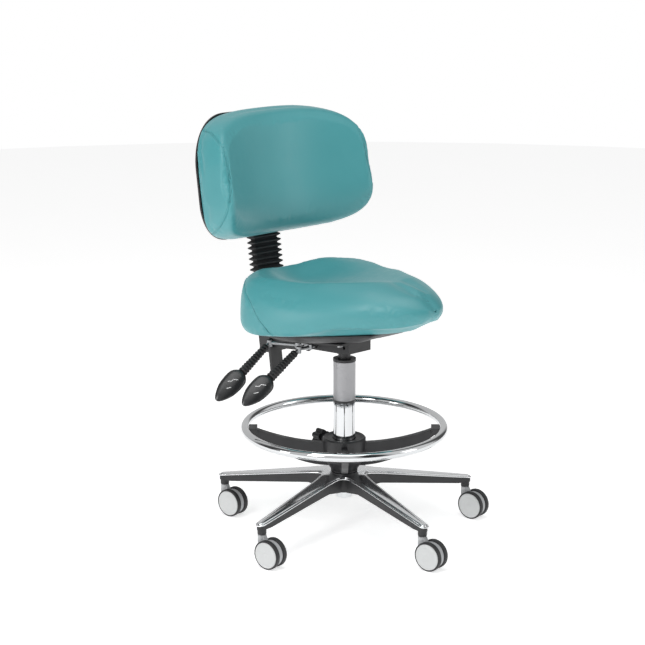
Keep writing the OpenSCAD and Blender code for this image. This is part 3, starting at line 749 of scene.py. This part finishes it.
# Seat stations along y: where its crest runs, how high it is, the floor of the hollow, how far
# the flank reaches in from the edge, and the height of the cushion's lower edge
CREST_X = ((-290, 10), (-240, 15), (-200, 25), (-160, 45), (-120, 71), (-100, 87), (-60, 116), (-20, 136),
           (20, 146), (60, 145), (100, 138), (140, 124), (180, 104), (216, 84))
CREST_Z = ((-290, 571), (-240, 594), (-200, 603), (-160, 608), (-120, 605), (-100, 603), (-60, 599),
           (-20, 594), (20, 591), (60, 590), (100, 589), (140, 589), (180, 591), (216, 592))
FLOOR_Z = ((-280, 573), (-240, 597), (-200, 604), (-160, 603), (-120, 597), (-100, 593), (-60, 585),
           (0, 573), (20, 569), (60, 561), (100, 556), (140, 558), (180, 574), (206, 586), (216, 587))
FLANK = ((-290, 42), (-240, 58), (-200, 78), (-160, 86), (-120, 80), (-60, 60), (0, 48), (60, 44),
         (140, 38), (216, 26))
FLANK_POWER = ((-290, 2.0), (-120, 2.0), (0, 2.3), (100, 2.8), (216, 3.0))
LOWER_EDGE = ((-290, 536), (-240, 522), (-190, 517), (-150, 514), (-117, 509), (-85, 500), (-45, 487),
              (0, 477), (50, 470), (88, 465), (130, 463), (216, 464))
TUCK = 26.0


def seat_half(y):
    """Half-width of the seat at y in its own sloping plane."""
    if y < SEAT_WIDEST:
        u = min(1.0, (SEAT_WIDEST - y) / (SEAT_WIDEST - SEAT_FRONT))
        return SEAT_HALF_W * max(0.0, 1 - u ** 1.6) ** (1 / 1.7)
    u = min(1.0, (y - SEAT_WIDEST) / (SEAT_BACK - SEAT_WIDEST))
    return SEAT_HALF_W * max(0.0, 1 - u ** 2.3) ** (1 / 2.1)


def seat_outline(half_steps):
    """Plan of the seat, anticlockwise from its nose, closer together at both ends."""
    mid, half = (SEAT_BACK + SEAT_FRONT) / 2, (SEAT_BACK - SEAT_FRONT) / 2
    right = []
    for i in range(half_steps + 1):
        y = mid - half * math.cos(math.pi * i / half_steps)
        right.append(Vector((seat_half(y), y * math.cos(SEAT_SLOPE) + SEAT_SHIFT)))
    return right + [Vector((-p.x, p.y)) for p in reversed(right[1:-1])]


def seat_top(x, y, edge):
    """Height of the seat's upper surface, given the distance from its edge in plan."""
    crest, high, floor = spline(CREST_X, y), spline(CREST_Z, y), spline(FLOOR_Z, y)
    inner = min(1.0, abs(x) / crest)
    level = floor + (high - floor) * (1 - math.cos(math.pi * inner)) / 2
    power = spline(FLANK_POWER, y)
    share = 1 - min(1.0, edge / spline(FLANK, y))
    low = spline(LOWER_EDGE, y) + TUCK
    return low + (level - low) * max(0.0, 1 - share ** power) ** (1 / power)


def dome_rings(outline, centre, insets, fractions):
    """Plan positions from the centre out to the edge, each with its distance from the edge."""
    rings = []
    for f in fractions:
        rings.append([(centre + (p - centre) * f, (1 - f) * (p - centre).length) for p in outline])
    for inset in insets:
        ring = []
        for p in outline:
            reach = (p - centre).length
            ring.append((centre + (p - centre) * (1 - inset / reach), inset))
        rings.append(ring)
    return rings


def edge_drop(distance, radius, depth):
    if distance >= radius:
        return 0.0
    u = 1 - distance / radius
    return depth * (1 - math.sqrt(max(0.0, 1 - u * u)))


def build_seat_cushion():
    """Saddle-shaped seat: high narrow nose, a ridge along each thigh and a hollow at the back."""
    outline = seat_outline(64)
    centre = Vector((0, 20))
    fractions = [k / 26 for k in range(1, 22)]
    insets = (34, 27, 21, 16, 12, 8.5, 6, 4, 2.5, 1.3, 0.5, 0.1, 0)
    edge_tree = KDTree(len(outline) * 4)
    for i, p in enumerate(outline):
        for k in range(4):
            q = p.lerp(outline[(i + 1) % len(outline)], k / 4)
            edge_tree.insert((q.x, q.y, 0), i * 4 + k)
    edge_tree.balance()
    rings = []
    for ring in dome_rings(outline, centre, insets, fractions):
        row = []
        for p, inset in ring:
            edge = min(inset, edge_tree.find((p.x, p.y, 0))[2])
            row.append(Vector((p.x, p.y, seat_top(p.x, p.y, edge))))
        rings.append(row)
    count = len(outline)
    outward = []
    for i in range(count):
        t = (outline[(i + 1) % count] - outline[i - 1]).normalized()
        outward.append(Vector((t.y, -t.x, 0)))
    for k in range(1, 7):
        a = math.pi / 12 * k
        rings.append([p + n * (-0.9 * TUCK * (1 - math.cos(a))) - Vector((0, 0, TUCK * math.sin(a)))
                      for p, n in zip(rings[len(insets) + len(fractions) - 1], outward)])
    for f in (0.75, 0.5, 0.25, 0.08):
        rings.append([Vector((centre.x + (p.x - centre.x) * f, centre.y + (p.y - centre.y) * f, 0))
                      for p in outline])
        for p in rings[-1]:
            p.z = PLATE_Z - p.y * math.tan(SEAT_SLOPE) + CUSHION_BASE
    bm = bmesh.new()
    loft_into(bm, rings)
    cushion = new_object("seat_pad", bm, VINYL)
    inflate(cushion, lambda p: p.z < spline(LOWER_EDGE, p.y) + 6)
    for side, word in ((-1, "left"), (1, "right")):
        stations = [Vector((side * x, y, z)) for x, y, z in
                    ((150, 180, 585), (166, 158, 575), (177, 134, 561), (185, 106, 540), (186, 80, 510),
                     (184, 60, 490), (174, 46, 468))]
        seam(cushion, f"seat_seam_{word}", stations, "upper", "teal_upholstery")
    nose = [Vector((0, y, z)) for y, z in ((-255, 590), (-270, 580), (-281, 566), (-284, 550), (-276, 536))]
    points, _ = lay_on(cushion, smooth_path(nose))
    groove(cushion, points, 3.5, 13.0, 0.0)
    place(cushion, "upper", "teal_upholstery", "seat_cushion")


def build_seat_pan():
    """Black pan under the cushion: a flat middle on the plate, its rim swept up to the cushion.
    It stops short of the nose, so it is shorter at the front than the CAD's seat_shell."""
    outline = [Vector((p.x * 0.74, max(p.y * 0.80, PAN_FRONT - 0.1 * abs(p.x)))) for p in seat_outline(48)]
    rings = []
    for f, rise in ((0.1, 0), (0.5, 0), (0.62, 0), (0.8, 7), (0.93, 15), (1.0, 20), (1.005, 22),
                    (1.0, 24), (0.98, 25), (0.6, 25), (0.1, 25)):
        rings.append([Vector((p.x * f, 12 + (p.y - 12) * f, 0)) for p in outline])
        for p in rings[-1]:
            p.z = PLATE_Z - p.y * math.tan(SEAT_SLOPE) + PAN_BOTTOM + rise
    bm = bmesh.new()
    loft_into(bm, rings)
    pan = new_object("seat_pan", bm, SHELL_BLACK, crease=40)
    place(pan, "upper", "shell_plastic", "seat_shell")


# Squareness of the backrest's upper and lower corners, how far its sides wrap forwards, how
# deep its front lies, and the radius of the shell behind it
UPPER_POWER = 3.4
LOWER_POWER = 5.2
WING_REACH = 71.0
FACE_Y = -86.0
SHELL_Y = -12.3
SHELL_ARC = 536.7


def back_outline(count):
    """Outline of the backrest: squarer at the bottom than at the top."""
    points = []
    for i in range(count):
        a = 2 * math.pi * i / count
        c, d = math.cos(a), math.sin(a)
        power = UPPER_POWER if d > 0 else LOWER_POWER
        reach = (abs(c / (BACK_HALF_W - 1)) ** power + abs(d / BACK_HALF_H) ** power) ** (-1 / power)
        points.append(Vector((reach * c, reach * d)))
    return points


def back_face(x, h):
    """Depth of the backrest's front at x across and h above its middle."""
    side_arc = 430.0 if h > 0 else 700.0
    reach = WING_REACH - (side_arc - math.sqrt(side_arc ** 2 - h ** 2))
    lumbar = 9 * math.exp(-((h + 70) / 60) ** 2)
    return FACE_Y - reach * min(1.1, (x / 208) ** 2) - lumbar


def back_rear(x):
    """Depth of the backrest's back, where it meets the shell."""
    return SHELL_Y - (SHELL_ARC - math.sqrt(SHELL_ARC ** 2 - x ** 2))


def build_back_cushion():
    """Backrest: hollow across its width, wrapped forwards at the sides, rolled at top and bottom."""
    outline = back_outline(160)
    centre = Vector((0, 0))
    fractions = [k / 22 for k in range(1, 18)]
    insets = (34, 27, 21, 16, 11, 7, 4, 2, 0.8, 0)
    rings = []
    count = len(outline)
    normals = []
    for i in range(count):
        t = (outline[(i + 1) % count] - outline[i - 1]).normalized()
        normals.append(Vector((t.y, -t.x)))
    for ring in dome_rings(outline, centre, insets, fractions):
        row = []
        for (p, e), n in zip(ring, normals):
            radius = 16 + 14 * abs(n.y) ** 1.5
            front, rear = back_face(p.x, p.y), back_rear(p.x)
            depth = min(radius, 0.55 * (rear - front))
            row.append(Vector((p.x, front + edge_drop(e, radius, depth), p.y)))
        rings.append(row)
    edge = rings[-1]
    for k in range(1, 9):
        f = k / 8
        ring = []
        for p, n in zip(edge, normals):
            bulge = 2.5 * math.sin(math.pi * f)
            ring.append(Vector((p.x + n.x * bulge, p.y + (back_rear(p.x) - p.y) * f, p.z + n.y * bulge)))
        rings.append(ring)
    for f in (0.9, 0.7, 0.4, 0.1):
        rings.append([Vector((p.x * f, back_rear(p.x * f), p.y * f)) for p in outline])
    up = back_matrix() @ Matrix.Translation((0, 0, BACK_MID))
    bm = bmesh.new()
    loft_into(bm, rings)
    cushion = new_object("back_pad", bm, VINYL, up)
    down = up.inverted()
    inflate(cushion, lambda p: (down @ p).y > back_rear((down @ p).x) - 8)
    for side, word in ((-1, "left"), (1, "right")):
        lens = ((105, 181, -53), (102, 186, -74), (92, 194, -105), (59, 204, -145), (25, 205, -153),
                (-7, 207, -157), (-39, 212, -158), (-72, 213, -144), (-99, 207, -110), (-116, 195, -71),
                (-120, 187, -52))
        stations = [up @ Vector((side * x, y, h)) for h, x, y in lens]
        seam(cushion, f"back_seam_{word}", stations, "backrest", "teal_upholstery")
    place(cushion, "backrest", "teal_upholstery", "back_cushion")


# ---------------------------------------------------------------- finishes of the CAD pieces

FINISH = {
    "leg_trims": (BLACK, 1.2), "hub_skirt": (BLACK, 0.8), "column_tube": (CHROME, 0.4),
    "column_sleeve": (SATIN, 0.4), "column_rings": (BLACK, 0.6), "guide_bush": (BUSH, 0.4),
    "thrust_bearing": (ZINC, 0.4), "caster_stems": (ZINC, 0.4), "piston_rod": (CHROME, 0.3),
    "rod_clip": (ZINC, 0.3), "gas_cylinder": (COAT, 0.4), "taper_socket": (COAT, 0.8),
    "mechanism_housing": (COAT, 1.0), "pivot_pins": (ZINC, 0.4), "seat_plate": (COAT, 0.8),
    "seat_bolts": (ZINC, 0.4), "release_pin": (ZINC, 0.3),
    "height_lever_rod": (STEEL, 0.5), "angle_lever_rod": (STEEL, 0.5), "back_arm": (COAT, 1.5),
    "back_arm_bolts": (ZINC, 0.4), "back_upright": (COAT, 0.8), "back_carrier": (COAT, 0.6),
    "back_shell": (SHELL_BLACK, 1.5), "back_screws": (ZINC, 0.4), "ring_hub": (BLACK, 1.6),
    "ring_bush": (BLACK, 0.4), "clamp_knob": (BLACK, 1.6),
}
for n in range(1, LEG_COUNT + 1):
    FINISH[f"caster_{n}_yoke"] = (SILVER, 1.2)
    FINISH[f"caster_{n}_axle"] = (ZINC, 0.3)


def finish_cad():
    for name, (mat, edge) in FINISH.items():
        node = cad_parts[name]
        node.data.materials.clear()
        node.data.materials.append(mat)
        add_bevel(node, edge * MM)


# ---------------------------------------------------------------- studio


def area_light(name, at, aim, size, power):
    """A soft rectangular light at one point, in metres, facing another."""
    data = bpy.data.lights.new(name, "AREA")
    data.shape = "RECTANGLE"
    data.size, data.size_y = size
    data.energy = power
    obj = bpy.data.objects.new(name, data)
    bpy.context.scene.collection.objects.link(obj)
    obj.location = at
    obj.rotation_euler = (Vector(aim) - Vector(at)).to_track_quat("-Z", "Y").to_euler()


def build_world():
    """A white studio: even light, darker bands in reflections only, plain white for the camera."""
    world = bpy.data.worlds.new("studio")
    bpy.context.scene.world = world
    world.use_nodes = True
    tree = world.node_tree
    tree.nodes.clear()
    out = tree.nodes.new("ShaderNodeOutputWorld")

    def background(strength):
        node = tree.nodes.new("ShaderNodeBackground")
        node.inputs["Color"].default_value = (1, 1, 1, 1)
        node.inputs["Strength"].default_value = strength
        return node

    plain, banded, backdrop = background(0.36), background(0.8), background(1.0)
    coord = tree.nodes.new("ShaderNodeTexCoord")
    split = tree.nodes.new("ShaderNodeSeparateXYZ")
    angle = tree.nodes.new("ShaderNodeMath")
    angle.operation = "ARCTAN2"
    ramp = tree.nodes.new("ShaderNodeValToRGB")
    ramp.color_ramp.elements[0].color = (0.9, 0.9, 0.9, 1)
    ramp.color_ramp.elements[1].color = (0.9, 0.9, 0.9, 1)
    for at, grey in ((0.16, 0.9), (0.20, 0.05), (0.25, 0.05), (0.29, 1.0), (0.44, 1.0), (0.48, 0.12),
                     (0.54, 0.12), (0.58, 0.8), (0.80, 0.8), (0.84, 0.1), (0.90, 0.1), (0.94, 0.9)):
        element = ramp.color_ramp.elements.new(at)
        element.color = (grey, grey, grey, 1)
    spread = tree.nodes.new("ShaderNodeMapRange")
    spread.inputs["From Min"].default_value = -math.pi
    spread.inputs["From Max"].default_value = math.pi
    tree.links.new(coord.outputs["Generated"], split.inputs["Vector"])
    tree.links.new(split.outputs["Y"], angle.inputs[0])
    tree.links.new(split.outputs["X"], angle.inputs[1])
    tree.links.new(angle.outputs["Value"], spread.inputs["Value"])
    tree.links.new(spread.outputs["Result"], ramp.inputs["Fac"])
    tree.links.new(ramp.outputs["Color"], banded.inputs["Color"])
    path = tree.nodes.new("ShaderNodeLightPath")
    mix = tree.nodes.new("ShaderNodeMixShader")
    tree.links.new(path.outputs["Is Glossy Ray"], mix.inputs["Fac"])
    tree.links.new(plain.outputs["Background"], mix.inputs[1])
    tree.links.new(banded.outputs["Background"], mix.inputs[2])
    seen = tree.nodes.new("ShaderNodeMixShader")
    tree.links.new(path.outputs["Is Camera Ray"], seen.inputs["Fac"])
    tree.links.new(mix.outputs["Shader"], seen.inputs[1])
    tree.links.new(backdrop.outputs["Background"], seen.inputs[2])
    tree.links.new(seen.outputs["Shader"], out.inputs["Surface"])


def build_studio():
    scene = bpy.context.scene
    scene.view_settings.view_transform = "Standard"
    build_world()
    bm = bmesh.new()
    revolve_into(bm, [(0, 0), (6000, 0), (6000, -20), (0, -20)], 64)
    mat = Nodes("floor_paint")
    mat.colour(mat.noise(3, 3), (0.93, 0.93, 0.93), (0.95, 0.95, 0.95))
    mat.set(Roughness=0.9, Specular_IOR_Level=0.0, Emission_Strength=0.58)
    mat.bsdf.inputs["Emission Color"].default_value = (1, 1, 1, 1)
    floor = new_object("floor", bm, mat.mat)
    area_light("top_light", (-0.4, -0.3, 2.6), (0, 0, 0.4), (1.6, 1.6), 20)
    area_light("key_light", (-2.4, -0.6, 2.0), (0, 0, 0.5), (0.7, 1.4), 22)
    area_light("side_light", (-2.6, 0.8, 0.5), (0, 0, 0.6), (0.5, 0.9), 9)
    area_light("fill_light", (1.6, -2.6, 1.2), (0, 0, 0.5), (0.9, 1.6), 9)
    data = bpy.data.cameras.new("camera")
    data.lens = 101.8
    data.sensor_width = 36
    camera = bpy.data.objects.new("camera", data)
    scene.collection.objects.link(camera)
    camera.location = (-2.6797, -2.9023, 1.4782)
    aim = Vector((-0.0367, 0.0330, 0.4848))
    camera.rotation_euler = (aim - camera.location).to_track_quat("-Z", "Y").to_euler()
    scene.camera = camera


# ---------------------------------------------------------------- build

build_star_base()
build_casters()
build_foot_ring()
build_lever("height_lever", 60.0, 426.0, 31.0)
build_lever("angle_lever", 160.0, 422.0, 34.0)
build_bellows()
build_seat_cushion()
build_seat_pan()
build_back_cushion()
finish_cad()
build_studio()
